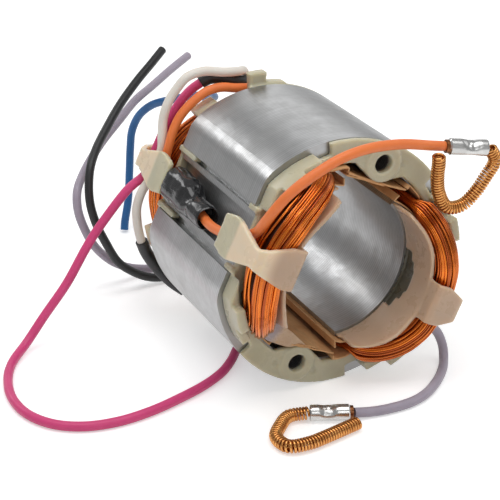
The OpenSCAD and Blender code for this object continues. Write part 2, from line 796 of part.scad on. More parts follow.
lamination_stack();
front_end_frame();
rear_end_frame();
coil_left();
coil_right();
slot_liner_top_left();
slot_liner_top_right();
slot_liner_bottom_left();
slot_liner_bottom_right();
splice_sleeve();
splice_crimp();
rear_orange_lead();
white_lead();
white_sleeve();
pink_lead();
pink_sleeve();
black_lead();
rear_lilac_lead();
blue_lead();
front_orange_lead();
orange_ferrule();
orange_spring();
front_lilac_lead();
lilac_ferrule();
lilac_spring();
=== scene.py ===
import math
import random

import bpy
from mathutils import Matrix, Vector, noise


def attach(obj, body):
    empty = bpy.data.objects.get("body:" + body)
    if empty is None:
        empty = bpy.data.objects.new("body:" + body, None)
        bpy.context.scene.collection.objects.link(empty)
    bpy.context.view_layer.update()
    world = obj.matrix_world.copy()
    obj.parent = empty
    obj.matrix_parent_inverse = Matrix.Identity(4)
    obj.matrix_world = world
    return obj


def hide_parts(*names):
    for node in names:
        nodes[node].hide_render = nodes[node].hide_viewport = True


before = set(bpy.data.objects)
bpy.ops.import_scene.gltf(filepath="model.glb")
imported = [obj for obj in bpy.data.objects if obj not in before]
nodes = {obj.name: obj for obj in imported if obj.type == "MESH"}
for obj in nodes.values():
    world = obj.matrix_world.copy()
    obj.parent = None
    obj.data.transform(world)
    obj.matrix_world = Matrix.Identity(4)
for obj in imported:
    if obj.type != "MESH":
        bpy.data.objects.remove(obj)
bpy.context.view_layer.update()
print("frame loaded:", len(nodes), "nodes")

mm = 0.001  # routes and profiles are written in millimetres, meshes are in metres
weldGap = 0.000002  # points nearer than this become one


# selecting and editing
def dropSelection():
    bpy.ops.object.select_all(action="DESELECT")


def pickOnly(obj):
    dropSelection()
    obj.select_set(True)
    bpy.context.view_layer.objects.active = obj


def weld(obj):
    pickOnly(obj)
    bpy.ops.object.mode_set(mode="EDIT")
    bpy.ops.mesh.select_all(action="SELECT")
    bpy.ops.mesh.remove_doubles(threshold=weldGap)
    bpy.ops.object.mode_set(mode="OBJECT")


# merged, faces turned outwards, smooth
def outward(obj):
    weld(obj)
    bpy.ops.object.mode_set(mode="EDIT")
    bpy.ops.mesh.select_all(action="SELECT")
    bpy.ops.mesh.normals_make_consistent(inside=False)
    bpy.ops.object.mode_set(mode="OBJECT")
    bpy.ops.object.shade_smooth()


# open ends filled, edges sharper than the angle kept sharp
def closeEnds(obj, angle):
    outward(obj)
    bpy.ops.object.mode_set(mode="EDIT")
    bpy.ops.mesh.select_all(action="DESELECT")
    bpy.ops.mesh.select_non_manifold()
    bpy.ops.mesh.edge_face_add()
    bpy.ops.mesh.select_all(action="SELECT")
    bpy.ops.mesh.normals_make_consistent(inside=False)
    bpy.ops.object.mode_set(mode="OBJECT")
    bpy.ops.object.shade_smooth_by_angle(angle=angle)


def applyModifier(obj, name, kind, **values):
    mod = obj.modifiers.new(name, kind)
    for key, value in values.items():
        setattr(mod, key, value)
    bpy.ops.object.modifier_apply(modifier=mod.name)


# what every new piece gets: its finish and its body, and the CAD node it stands for is hidden
def finishPiece(obj, look, node, slot):
    obj.data.materials.append(looks[look])
    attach(obj, "root")
    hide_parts(node)
    return obj


# the stator's own axes (x along the poles, y along the screw holes, z to the front) turned as it lies
stator = {"roll": 24.8, "faceZ": 25.5}
rollCos = math.cos(math.radians(stator["roll"]))
rollSin = math.sin(math.radians(stator["roll"]))


def asItLies(x, y, z):
    return Vector((x * rollCos + y * rollSin, -z, -x * rollSin + y * rollCos)) * mm


def mix(a, b, k):
    return a + (b - a) * k


def ease(x):
    c = max(0.0, min(1.0, x))
    return c * c * (3 - 2 * c)


# smooth run through given points, in metres
def smoothRun(points, perSpan):
    pts = [Vector(p) * mm for p in points]
    run = []
    for i in range(len(pts) - 1):
        b, c = pts[i], pts[i + 1]
        a = pts[i - 1] if i else 2 * b - c
        d = pts[i + 2] if i + 2 < len(pts) else 2 * c - b
        for k in range(perSpan):
            f = k / perSpan
            run.append(b + 0.5 * f * (c - a + f * (2 * a - 5 * b + 4 * c - d + f * (3 * (b - c) + d - a))))
    run.append(pts[-1])
    return run


def wireCurve(name, runs, diameter, roundness, closed=False):
    data = bpy.data.curves.new(name, "CURVE")
    data.dimensions = "3D"
    data.bevel_depth = diameter / 2
    data.bevel_resolution = roundness
    data.use_fill_caps = not closed
    data.twist_mode = "MINIMUM"
    for run in runs:
        spline = data.splines.new("POLY")
        spline.points.add(len(run) - 1)
        for point, place in zip(spline.points, run):
            point.co = (*place, 1)
        spline.use_cyclic_u = closed
        spline.use_smooth = True
    obj = bpy.data.objects.new(name, data)
    bpy.context.collection.objects.link(obj)
    return obj


def asMesh(obj):
    pickOnly(obj)
    bpy.ops.object.convert(target="MESH")
    return bpy.context.view_layer.objects.active


# camera, where the photograph was taken from
camera = {"place": (-0.2015, -0.3759, 0.2012), "looks": (0.397, 0.806, -0.439), "lens": 107.3, "sensor": 36,
          "clip": 0.01}


def setCamera():
    data = bpy.data.cameras.new("camera")
    data.lens = camera["lens"]
    data.sensor_width = camera["sensor"]
    data.clip_start = camera["clip"]
    obj = bpy.data.objects.new("camera", data)
    obj.location = camera["place"]
    obj.rotation_euler = Vector(camera["looks"]).to_track_quat("-Z", "Y").to_euler()
    bpy.context.collection.objects.link(obj)
    bpy.context.scene.camera = obj


setCamera()
print("camera set")


# shader helpers
def newMaterial(name):
    mat = bpy.data.materials.new(name)
    mat.use_nodes = True
    tree = mat.node_tree
    return mat, tree, tree.nodes["Principled BSDF"]


def addNode(tree, kind, **values):
    node = tree.nodes.new(kind)
    for key, value in values.items():
        setattr(node, key, value)
    return node


def setValues(node, values):
    for key, value in values.items():
        node.inputs[key].default_value = value


# a link from another node, or a plain value
def feed(tree, source, socket):
    if isinstance(source, bpy.types.NodeSocket):
        tree.links.new(source, socket)
    else:
        socket.default_value = source


def objectPlace(tree):
    return addNode(tree, "ShaderNodeTexCoord").outputs["Object"]


def rangeTo(tree, source, low, high):
    node = addNode(tree, "ShaderNodeMapRange")
    setValues(node, {"To Min": low, "To Max": high})
    feed(tree, source, node.inputs["Value"])
    return node.outputs["Result"]


def stepAt(tree, source, low, high):
    node = addNode(tree, "ShaderNodeMapRange", interpolation_type="SMOOTHSTEP")
    setValues(node, {"From Min": low, "From Max": high})
    feed(tree, source, node.inputs["Value"])
    return node.outputs["Result"]


def joined(tree, how, a, b, clamp=True):
    node = addNode(tree, "ShaderNodeMath", operation=how, use_clamp=clamp)
    feed(tree, a, node.inputs[0])
    feed(tree, b, node.inputs[1])
    return node.outputs[0]


def mixColour(tree, factor, a, b, how="MIX"):
    node = addNode(tree, "ShaderNodeMix", data_type="RGBA", blend_type=how)
    feed(tree, factor, node.inputs["Factor"])
    feed(tree, a, node.inputs["A"])
    feed(tree, b, node.inputs["B"])
    return node.outputs["Result"]


def noiseOn(tree, scale, detail=2):
    node = addNode(tree, "ShaderNodeTexNoise")
    setValues(node, {"Scale": scale, "Detail": detail})
    feed(tree, objectPlace(tree), node.inputs["Vector"])
    return node.outputs["Fac"]


# how far a point lies along a direction that is given in the stator's own x and y
def acrossStator(tree, x, y):
    node = addNode(tree, "ShaderNodeVectorMath", operation="DOT_PRODUCT")
    node.inputs[1].default_value = (x * rollCos + y * rollSin, 0, -x * rollSin + y * rollCos)
    feed(tree, objectPlace(tree), node.inputs[0])
    return node.outputs["Value"]


def bump(tree, shader, height, strength, distance, under=None):
    node = addNode(tree, "ShaderNodeBump")
    setValues(node, {"Strength": strength, "Distance": distance})
    feed(tree, height, node.inputs["Height"])
    if under is not None:
        feed(tree, under, node.inputs["Normal"])
    feed(tree, node.outputs["Normal"], shader.inputs["Normal"])
    return node.outputs["Normal"]


def makeGroup(name, takes, gives):
    group = bpy.data.node_groups.new(name, "ShaderNodeTree")
    for way, rows in (("INPUT", takes), ("OUTPUT", gives)):
        for label, kind in rows.items():
            group.interface.new_socket(label, in_out=way, socket_type="NodeSocket" + kind)
    return group, group.nodes.new("NodeGroupInput").outputs, group.nodes.new("NodeGroupOutput").inputs


# shared effect: soft patches of lighter and darker colour
cloud = {"Detail": 6, "Roughness": 0.62}
cloudEdge = {"From Min": 0.36, "From Max": 0.66}


def makePatches():
    group, takes, gives = makeGroup(
        "patches", {"Place": "Vector", "Colour": "Color", "Other": "Color", "Size": "Float", "Amount": "Float"},
        {"Colour": "Color", "Mask": "Float"})
    clouds = addNode(group, "ShaderNodeTexNoise")
    setValues(clouds, cloud)
    feed(group, takes["Place"], clouds.inputs["Vector"])
    feed(group, takes["Size"], clouds.inputs["Scale"])
    edge = addNode(group, "ShaderNodeMapRange")
    setValues(edge, cloudEdge)
    feed(group, clouds.outputs["Fac"], edge.inputs["Value"])
    mask = edge.outputs["Result"]
    share = joined(group, "MULTIPLY", mask, takes["Amount"], clamp=False)
    feed(group, mixColour(group, share, takes["Colour"], takes["Other"]), gives["Colour"])
    feed(group, mask, gives["Mask"])
    return group


# shared effect: fine streaks, stretched along the object's own axes
streakLines = {"Scale": 1, "Detail": 3}
streakMiddle = 0.5


def makeStreaks():
    group, takes, gives = makeGroup(
        "streaks", {"Place": "Vector", "Stretch": "Vector", "Sharp": "Float"}, {"Lines": "Float"})
    scale = addNode(group, "ShaderNodeVectorMath", operation="MULTIPLY")
    feed(group, takes["Place"], scale.inputs[0])
    feed(group, takes["Stretch"], scale.inputs[1])
    lines = addNode(group, "ShaderNodeTexNoise")
    setValues(lines, streakLines)
    feed(group, scale.outputs[0], lines.inputs["Vector"])
    off = joined(group, "SUBTRACT", lines.outputs["Fac"], streakMiddle, clamp=False)
    sharper = joined(group, "MULTIPLY", off, takes["Sharp"], clamp=False)
    feed(group, joined(group, "ADD", sharper, streakMiddle), gives["Lines"])
    return group


patches = makePatches()
streaks = makeStreaks()


def placed(tree, group, values):
    node = addNode(tree, "ShaderNodeGroup")
    node.node_tree = group
    feed(tree, objectPlace(tree), node.inputs["Place"])
    setValues(node, values)
    return node.outputs


def patchesOn(tree, colour, other, size, amount):
    return placed(tree, patches, {"Colour": (*colour, 1), "Other": (*other, 1), "Size": size, "Amount": amount})


def streaksOn(tree, stretch, sharp):
    return placed(tree, streaks, {"Stretch": stretch, "Sharp": sharp})["Lines"]


# a look's patches on Base Color, their mask on Roughness, and its plain values
def patchedMaterial(name, look):
    mat, tree, shader = newMaterial(name)
    tone = patchesOn(tree, look["face"], look["other"], *look["patch"])
    feed(tree, tone["Colour"], shader.inputs["Base Color"])
    feed(tree, rangeTo(tree, tone["Mask"], *look["rough"]), shader.inputs["Roughness"])
    setValues(shader, look.get("plain", {}))
    return mat, tree, shader, tone


# sheet steel: satin, with the edges of the thin sheets as fine rings round the bore
steelLook = {
    "face": (0.49, 0.495, 0.50), "other": (0.39, 0.39, 0.385), "patch": (75, 0.6), "metallic": 0.92,
    "sheet": 0.00095, "ringTone": (0.86, 1.06), "ringBump": (0.22, 0.00006),
    "sheetStreaks": ((14, 2400, 14), 1.6), "sheetTone": (0.88, 1.06),
    "rubStreaks": ((900, 60, 900), 2.0), "rubRough": (0.32, 0.38), "smear": (150, 1.0), "smearRough": (0.88, 1.15),
    "uneven": (130, 2), "unevenBump": (0.3, 0.0007)}


def steelMaterial():
    look = steelLook
    mat, tree, shader = newMaterial("stackSteel")
    shader.inputs["Metallic"].default_value = look["metallic"]
    tone = patchesOn(tree, look["face"], look["other"], *look["patch"])
    rings = addNode(tree, "ShaderNodeTexWave", wave_type="BANDS", bands_direction="Y")
    rings.inputs["Scale"].default_value = math.pi / (10 * look["sheet"])  # one band for each sheet
    feed(tree, objectPlace(tree), rings.inputs["Vector"])
    ringTone = rangeTo(tree, rings.outputs["Fac"], *look["ringTone"])
    sheetTone = rangeTo(tree, streaksOn(tree, *look["sheetStreaks"]), *look["sheetTone"])
    both = joined(tree, "MULTIPLY", ringTone, sheetTone, clamp=False)
    grey = addNode(tree, "ShaderNodeCombineColor")
    for key in ("Red", "Green", "Blue"):
        feed(tree, both, grey.inputs[key])
    shade = mixColour(tree, 1, tone["Colour"], grey.outputs["Color"], "MULTIPLY")
    feed(tree, shade, shader.inputs["Base Color"])
    smear = patchesOn(tree, (0, 0, 0), (1, 1, 1), *look["smear"])["Mask"]
    rubs = rangeTo(tree, streaksOn(tree, *look["rubStreaks"]), *look["rubRough"])
    worn = joined(tree, "MULTIPLY", rubs, rangeTo(tree, smear, *look["smearRough"]), clamp=False)
    feed(tree, worn, shader.inputs["Roughness"])
    under = bump(tree, shader, noiseOn(tree, *look["uneven"]), *look["unevenBump"])
    bump(tree, shader, rings.outputs["Fac"], *look["ringBump"], under)
    return mat


# ivory moulding: milky and greenish on the plates and guards, pinker on the walls, arms and hooks, with a painted
# highlight that lightens their outer tips, and near-black painted shade in the notch at the foot of the right wall,
# where the opening lies in shadow
mouldLook = {
    "face": (0.59, 0.55, 0.395), "other": (0.505, 0.47, 0.33), "patch": (130, 0.75),
    "wall": (0.585, 0.42, 0.295), "wallOther": (0.525, 0.37, 0.255), "wallPatch": (80, 0.7),
    "paintedLitTip": (0.82, 0.665, 0.485), "paintedNotchShade": (0.085, 0.075, 0.045), "rough": (0.24, 0.38),
    # where each tone fades in, in metres from the bore's axis or from the middle of the stack
    "paintedLitTipAt": (0.0325, 0.0375), "rise": (0.0286, 0.0305), "guardIn": (0.0349, 0.0341), "guardOut": (0.0381, 0.0395),
    "guardTop": (0.0362, 0.0370), "rearLug": (0.031, 0.033), "wallOut": (0.0261, 0.026),
    "notchAngles": (-20.5, 24.5), "notchEdge": (0, 0.00002), "notchSide": (0.010, 0.0101),
    "notchFace": (-0.0254, -0.02542), "notchTop": (0.0325, 0.03248), "notchBack": (0.0251, 0.02514),
    "notchLedge": (0.0263, 0.02628), "notchFront": (0.02584, 0.0258),
    "grain": (260, 4), "grainBump": (0.06, 0.0006),
    "plain": {"Subsurface Weight": 0.85, "Subsurface Radius": (1.0, 0.8, 0.58), "Subsurface Scale": 0.0032,
              "Sheen Weight": 0.22, "Sheen Roughness": 0.4, "Specular IOR Level": 0.45}}


def mouldMaterial():
    look = mouldLook
    mat, tree, shader, plate = patchedMaterial("ivoryMoulding", look)
    wall = patchesOn(tree, look["wall"], look["wallOther"], *look["wallPatch"])
    split = addNode(tree, "ShaderNodeSeparateXYZ")
    feed(tree, objectPlace(tree), split.inputs[0])
    depth = split.outputs["Y"]
    size = addNode(tree, "ShaderNodeMath", operation="ABSOLUTE")
    feed(tree, depth, size.inputs[0])
    along = size.outputs[0]
    flat = addNode(tree, "ShaderNodeCombineXYZ")
    feed(tree, split.outputs["X"], flat.inputs["X"])
    feed(tree, split.outputs["Z"], flat.inputs["Z"])
    radius = addNode(tree, "ShaderNodeVectorMath", operation="LENGTH")
    feed(tree, flat.outputs[0], radius.inputs[0])
    fromAxis = radius.outputs["Value"]
    clear = stepAt(tree, fromAxis, *look["guardIn"])
    for source, key in ((fromAxis, "guardOut"), (along, "guardTop"), (depth, "rearLug")):
        clear = joined(tree, "ADD", clear, stepAt(tree, source, *look[key]))
    raised = joined(tree, "MULTIPLY", stepAt(tree, along, *look["rise"]), clear)
    pinker = joined(tree, "ADD", raised, stepAt(tree, fromAxis, *look["wallOut"]))
    # outer tips made lighter: a painted highlight where these faces catch more light
    paintedLitTip = mixColour(tree, stepAt(tree, fromAxis, *look["paintedLitTipAt"]), wall["Colour"], (*look["paintedLitTip"], 1))
    blend = mixColour(tree, pinker, plate["Colour"], paintedLitTip)
    notch = stepAt(tree, depth, *look["notchFace"])
    for angle, turn in zip(look["notchAngles"], (1, -1)):
        a = math.radians(angle)
        within = acrossStator(tree, -turn * math.sin(a), turn * math.cos(a))
        notch = joined(tree, "MULTIPLY", notch, stepAt(tree, within, *look["notchEdge"]))
    for source, key in ((acrossStator(tree, 1, 0), "notchSide"), (along, "notchTop"), (fromAxis, "notchFront")):
        notch = joined(tree, "MULTIPLY", notch, stepAt(tree, source, *look[key]))
    ledge = joined(tree, "ADD", stepAt(tree, fromAxis, *look["notchBack"]), stepAt(tree, along, *look["notchLedge"]))
    # the notch takes a near-black colour as painted shade, where the opening at the wall's foot lies in shadow
    dark = mixColour(tree, joined(tree, "MULTIPLY", notch, ledge), blend, (*look["paintedNotchShade"], 1))
    feed(tree, dark, shader.inputs["Base Color"])
    bump(tree, shader, noiseOn(tree, *look["grain"]), *look["grainBump"])
    return mat


# enamelled copper: amber lacquer over bright wire, each turn with its own tone
copperLook = {
    "face": (0.90, 0.27, 0.024), "other": (0.48, 0.09, 0.008), "patch": (70, 0.35), "rough": (0.15, 0.23),
    "deep": (0.30, 0.045, 0.006),
    "plain": {"Metallic": 0.9, "Coat Weight": 0.4, "Coat Roughness": 0.06, "Coat Tint": (1.0, 0.72, 0.4, 1)}}


def copperMaterial():
    mat, tree, shader, tone = patchedMaterial("enamelledCopper", copperLook)
    turn = addNode(tree, "ShaderNodeAttribute", attribute_name="turnTone")
    blend = mixColour(tree, turn.outputs["Fac"], tone["Colour"], (*copperLook["deep"], 1))
    feed(tree, blend, shader.inputs["Base Color"])
    return mat


# winding under the outer turns, near black as painted shade in the gaps between the turns
coreShadeLook = {"face": (0.05, 0.010, 0.003), "other": (0.02, 0.005, 0.002), "patch": (300, 0.8), "rough": (0.5, 0.7)}


# slot paper: matt brown card with long fibres
paperLook = {
    "face": (0.78, 0.46, 0.22), "other": (0.64, 0.325, 0.14), "patch": (160, 0.8), "rough": (0.6, 0.8),
    "fibre": ((700, 160, 700), 1.8), "fibreTone": 0.25, "fibreBump": (0.25, 0.0001), "specular": 0.25}


def paperMaterial():
    look = paperLook
    mat, tree, shader = newMaterial("slotPaper")
    shader.inputs["Specular IOR Level"].default_value = look["specular"]
    tone = patchesOn(tree, look["face"], look["other"], *look["patch"])
    fibre = streaksOn(tree, *look["fibre"])
    shade = mixColour(tree, look["fibreTone"], tone["Colour"], fibre, "MULTIPLY")
    feed(tree, shade, shader.inputs["Base Color"])
    feed(tree, rangeTo(tree, fibre, *look["rough"]), shader.inputs["Roughness"])
    bump(tree, shader, fibre, *look["fibreBump"])
    return mat


# thin film, milky where it lies on the moulding and violet where it lies on the wire
filmLook = {
    "face": (0.58, 0.40, 0.25), "other": (0.46, 0.29, 0.17), "patch": (200, 0.8), "rough": (0.22, 0.34),
    "violet": (0.36, 0.29, 0.295), "violetAt": (-0.0105, -0.0140)}


def filmMaterial():
    look = filmLook
    mat, tree, shader, tone = patchedMaterial("coilFilm", look)
    onWire = stepAt(tree, acrossStator(tree, 1, 0), *look["violetAt"])
    blend = mixColour(tree, onWire, tone["Colour"], (*look["violet"], 1))
    feed(tree, blend, shader.inputs["Base Color"])
    return mat


# shrunk black sleeve, glossy on the splice and dull on the joints
sleeveLook = {
    "face": (0.010, 0.010, 0.011), "other": (0.028, 0.028, 0.030), "patch": (240, 0.7),
    "folds": ((260, 110, 260), 2.0), "foldBump": (0.3, 0.0006), "plain": {"Specular IOR Level": 0.6}}
glossyRough, dullRough = (0.12, 0.28), (0.42, 0.58)


def sleeveMaterial(name, rough):
    look = {**sleeveLook, "rough": rough}
    mat, tree, shader, tone = patchedMaterial(name, look)
    bump(tree, shader, streaksOn(tree, *look["folds"]), *look["foldBump"])
    return mat


# lead insulation: soft satin plastic, a little uneven in colour
insulationTones = {
    "orange": ((0.92, 0.235, 0.06), (0.84, 0.19, 0.045)), "white": ((0.86, 0.81, 0.74), (0.78, 0.72, 0.64)),
    "pink": ((0.71, 0.065, 0.22), (0.61, 0.05, 0.18)), "black": ((0.014, 0.0145, 0.0155), (0.024, 0.025, 0.027)),
    "lilac": ((0.40, 0.35, 0.42), (0.33, 0.29, 0.355)), "blue": ((0.02, 0.135, 0.36), (0.016, 0.105, 0.30))}
insulationLook = {
    "patch": (130, 0.6), "rough": (0.36, 0.52), "skin": 1500, "skinBump": (0.08, 0.0001),
    "plain": {"Specular IOR Level": 0.45, "Subsurface Weight": 0.08, "Subsurface Radius": (1.0, 0.6, 0.5),
              "Subsurface Scale": 0.001}}


def insulationMaterial(colour):
    face, other = insulationTones[colour]
    look = {**insulationLook, "face": face, "other": other}
    mat, tree, shader, tone = patchedMaterial(colour + "Insulation", look)
    bump(tree, shader, noiseOn(tree, look["skin"]), *look["skinBump"])
    return mat


# tinned crimps, bronze springs and bare strands, the strands darkened with painted shade where the lead goes into the
# ferrule
tinLook = {"face": (0.68, 0.68, 0.67), "other": (0.52, 0.515, 0.505), "patch": (160, 0.8), "rough": (0.22, 0.36),
           "dentBump": (0.04, 0.0002)}
bronzeLook = {"face": (0.74, 0.36, 0.115), "other": (0.48, 0.19, 0.05), "patch": (380, 0.8), "rough": (0.18, 0.32),
              "dentBump": (0.05, 0.0002)}
shadedStrandLook = {"face": (0.30, 0.12, 0.05), "other": (0.10, 0.045, 0.02), "patch": (900, 0.8), "rough": (0.3, 0.44),
              "dentBump": (0.3, 0.0002)}
dentScale = 700


def brightMetal(name, look):
    mat, tree, shader, tone = patchedMaterial(name, look)
    shader.inputs["Metallic"].default_value = 1.0
    bump(tree, shader, noiseOn(tree, dentScale), *look["dentBump"])
    return mat


looks = {
    "steel": steelMaterial(),
    "mould": mouldMaterial(),
    "copper": copperMaterial(),
    "core": patchedMaterial("shadedWindingCore", coreShadeLook)[0],
    "paper": paperMaterial(),
    "film": filmMaterial(),
    "splice": sleeveMaterial("spliceSleeve", glossyRough),
    "sleeve": sleeveMaterial("jointSleeve", dullRough),
    "tin": brightMetal("tinnedCrimp", tinLook),
    "bronze": brightMetal("springBronze", bronzeLook),
    "shadedStrand": brightMetal("bareStrandShaded", shadedStrandLook),
}
for colour in insulationTones:
    looks[colour] = insulationMaterial(colour)
print("materials made:", len(looks))

# free leads, each from the coil or the splice to its far end, points in millimetres
leads = {
    "pinkLead": {"node": "pink_lead", "look": "pink", "slot": "pink_insulation", "length": 0.233, "end": "bare",
        "route": [(-14.4, 38.05, 39.8), (-18.5, 39, 37), (-22.5, 39, 33.2), (-27, 38.8, 27), (-30.6, 38.5, 20.4),
            (-33.2, 38.5, 15.3), (-35.4, 38.5, 10.9), (-42, 39, 6), (-52, 39, -5), (-57.5, 38, -11.5),
            (-65, 36, -21), (-74, 34, -30), (-81, 31.5, -36.5), (-88, 25, -38.5), (-92.5, 16, -38.5),
            (-95, 5, -38.5), (-94, -6, -38.5), (-89, -15, -38.5), (-81, -20.5, -38.5), (-71, -22.5, -38.5),
            (-60, -21.5, -38.5), (-49, -18.5, -38.5), (-39.5, -15, -38.5), (-31.5, -10.5, -38.5),
            (-25.5, -5, -38.5), (-21, 0.5, -38.5)]},
    "blackLead": {"node": "black_lead", "look": "black", "slot": "black_insulation", "length": 0.16, "end": "bare",
        "route": [(9.1, 37.75, -31.5), (8, 44, -33.5), (4.5, 51, -37), (-3, 56, -38.4), (-12, 58, -38.4),
            (-21.5, 57.5, -38.2), (-28, 57, -36.5), (-34, 56.5, -32.8), (-39.5, 56, -27.5), (-43.5, 56, -19.5),
            (-46.5, 57, -11.5), (-47.5, 59, -3.5), (-45.5, 63, 4.5), (-41, 68.5, 9.5), (-35, 74, 14),
            (-27, 80.5, 19.5), (-18, 87, 24.5), (-10, 92, 28.5), (-4, 96, 31.5)]},
    "rearLilacLead": {"node": "rear_lilac_lead", "look": "lilac", "slot": "lilac_insulation", "length": 0.198,
        "end": "bare",
        "route": [(15.7, 40.9, -27.5), (15.5, 48, -30.5), (13, 55.5, -35.5), (6, 62, -38.3), (-3, 65.5, -38.5),
            (-12, 66, -38.5), (-20.5, 65.5, -38.4), (-27.5, 65, -37), (-34, 63.5, -34), (-40, 62, -29.5),
            (-45.5, 60.5, -23), (-49, 60, -16), (-51, 61, -8.5), (-50, 64, -2.5), (-46, 69, 1), (-40, 75.5, 4),
            (-32, 84, 6.5), (-22, 93, 9.5), (-13.5, 100, 12.5), (-3.5, 107, 14.5), (7, 114, 17), (16.5, 120, 19)]},
    "blueLead": {"node": "blue_lead", "look": "blue", "slot": "blue_insulation", "length": 0.128, "end": "bare",
        "route": [(-10.55, 39.35, 29), (-9.5, 46, 29.5), (-6, 53.5, 28), (0, 61, 24.5), (3, 70, 21.5),
            (3.5, 79, 18.5), (1.5, 87.5, 15.5), (-2, 96, 12), (-5.5, 104, 8), (-8.5, 109.5, 2.5),
            (-10.5, 112, -4), (-11.5, 112, -11), (-13, 110, -20), (-15, 107, -29), (-18, 103.5, -36),
            (-19, 102, -39.2)]},
    "frontOrangeLead": {"node": "front_orange_lead", "look": "orange", "slot": "orange_insulation", "length": 0.112,
        "end": "fitting", "fittings": ["orangeFerrule", "orangeSpring"],
        "route": [(-33.4, 1.8, 13.1), (-33.6, -2, 12.9), (-34, -7, 12.5), (-34.2, -13, 13), (-33.6, -21, 14.4),
            (-32.5, -28, 16.7), (-31, -33.5, 19.8), (-30.6, -37.3, 23.8), (-29, -40, 28.3), (-26, -42, 33),
            (-22, -43, 36.5), (-17.5, -43.3, 39), (-9.5, -43, 42), (0, -42, 43), (12, -40, 41.5), (24, -38, 38.2),
            (28.5, -37.6, 37.1)]},
    "frontLilacLead": {"node": "front_lilac_lead", "look": "lilac", "slot": "lilac_insulation", "length": 0.068,
        "end": "fitting", "fittings": ["lilacFerrule", "lilacSpring"],
        "route": [(26.9, -33.25, -22.35), (31, -32, -26), (34.5, -31.5, -30), (36, -32.5, -34.5), (35, -35, -38),
            (32, -39, -38.5), (27, -44, -38.5), (20, -49, -38.5), (13, -51.5, -38.5), (5, -51.8, -38.5),
            (-1, -51, -38.4), (-6.3, -50.1, -37.8)]},
}
leadWide = 0.003
leadSteps = 7  # drawn points for each span of a route
leadRoundness = 6


def runLength(run):
    return sum((b - a).length for a, b in zip(run, run[1:]))


for name, lead in leads.items():
    run = smoothRun(lead["route"], leadSteps)
    piece = wireCurve(name, [run], leadWide, leadRoundness)
    finishPiece(piece, lead["look"], lead["node"], lead["slot"])
    print("lead", name, "length", round(runLength(run), 4), "stated", lead["length"])

# leads and sleeves that the stator holds all the way
held = {
    "rearOrangeLead": {"node": "rear_orange_lead", "look": "orange", "slot": "orange_insulation", "wide": 0.003,
        "route": [(27.85, 37.6, 13.85), (26, 41.5, 20), (20.5, 40, 27.5), (12.5, 35.5, 33.5), (3, 32.4, 36.5),
            (-6, 31.6, 38.2), (-11.1, 31.6, 39.2), (-16.1, 31.8, 38.5), (-21, 32, 35.6), (-25.3, 32, 31.6),
            (-28, 31.8, 27), (-29.8, 31.4, 22.2), (-31.2, 31, 18.3), (-32.6, 30.2, 15.2), (-33.3, 28, 13.4),
            (-33.4, 25.5, 13.1), (-33.4, 18, 13.1), (-33.4, 14.2, 13.1)]},
    "whiteLead": {"node": "white_lead", "look": "white", "slot": "white_insulation", "wide": 0.003,
        "route": [(30.4, 41.05, 6.6), (29.2, 45.8, 8.5), (24, 47.6, 13), (17, 48.4, 20.5), (10, 47.4, 27),
            (5, 45.2, 33), (2.6, 42.2, 37.4), (0, 38, 41.1), (-4, 34.6, 42.5), (-9, 34.2, 43.2), (-15.5, 35, 44.2),
            (-21, 35.5, 43), (-24.5, 36, 39.5), (-27.5, 36, 35.5), (-29.5, 35.8, 30.5), (-30.4, 35, 25),
            (-30.9, 34.7, 20.3), (-33.2, 34.6, 15.3), (-35, 34.5, 11.2), (-38.3, 34.5, 7), (-40, 35, 1.5),
            (-39.8, 35.5, -4.5), (-38.7, 36, -10.3), (-38, 36, -12.4)]},
    "whiteSleeve": {"node": "white_sleeve", "look": "sleeve", "slot": "black_sleeve", "wide": 0.0042,
        "route": [(-38.4, 35.95, -11.3), (-37.95, 36, -12.55), (-36.6, 36, -16.2), (-34, 34.5, -21),
            (-30, 32, -26), (-26, 30, -29.5)]},
    "pinkSleeve": {"node": "pink_sleeve", "look": "sleeve", "slot": "black_sleeve", "wide": 0.0042,
        "route": [(30, 40, 10.8), (28, 45.4, 15.5), (21.5, 46, 22.5), (13, 43.8, 28.6), (8, 41, 32.6), (4, 38.6, 36),
            (-2.5, 35.7, 38.4), (-7.5, 36.6, 40.1), (-11.5, 37.6, 40.7), (-14, 38, 40), (-15.2, 38.25, 39.3)]},
}
for name, piece in held.items():
    run = smoothRun(piece["route"], leadSteps)
    obj = asMesh(wireCurve(name, [run], piece["wide"], leadRoundness))
    finishPiece(obj, piece["look"], piece["node"], piece["slot"])
print("held leads made:", len(held))

# field coils: a racetrack wound round each pole and wrapped on the bore, laid as separate turns of wire
coil = {
    "wireWide": 0.82, "seed": 5, "tonePower": 1.6,
    "layers": [
        {"ending": "", "turns": 44, "stations": 220, "sink": 0.02, "rough": 0.5, "roundness": 2},
        {"ending": "Inner", "turns": 34, "stations": 120, "sink": 0.8, "rough": 0.3, "roundness": 1}],
    # the winding's form, in millimetres
    "sideW": 15.45, "sideMid": 26.1, "trackR": 11.725, "wrapR": 30.0, "coilLow": 2.7, "frontRise": 18.0,
    "rearRise": 15.9, "coilIn": 26.7, "coilR": 34.8, "slotOut": 31.4, "lift": 0.9, "shoeX": 7.649, "shoeR": 23.351,
    "squareness": 0.7, "pinch": 0.16, "pinchU": (9, 12), "pinchZ": (20, 8), "headFrom": 1.6, "headOver": 5,
    # how unevenly the turns lie
    "jitter": 0.3, "drift": 0.14, "ownRange": 100, "wander": 0.85, "sway": 1.4, "sharedSway": 0.9,
    "sharedTurn": 0.2, "sharedSeed": 3.0, "deepSway": 2.4, "deepSeed": 0.37, "deepBias": 0.2,
    "coreAround": 96, "coreSection": 28, "coreSunk": 1.5}


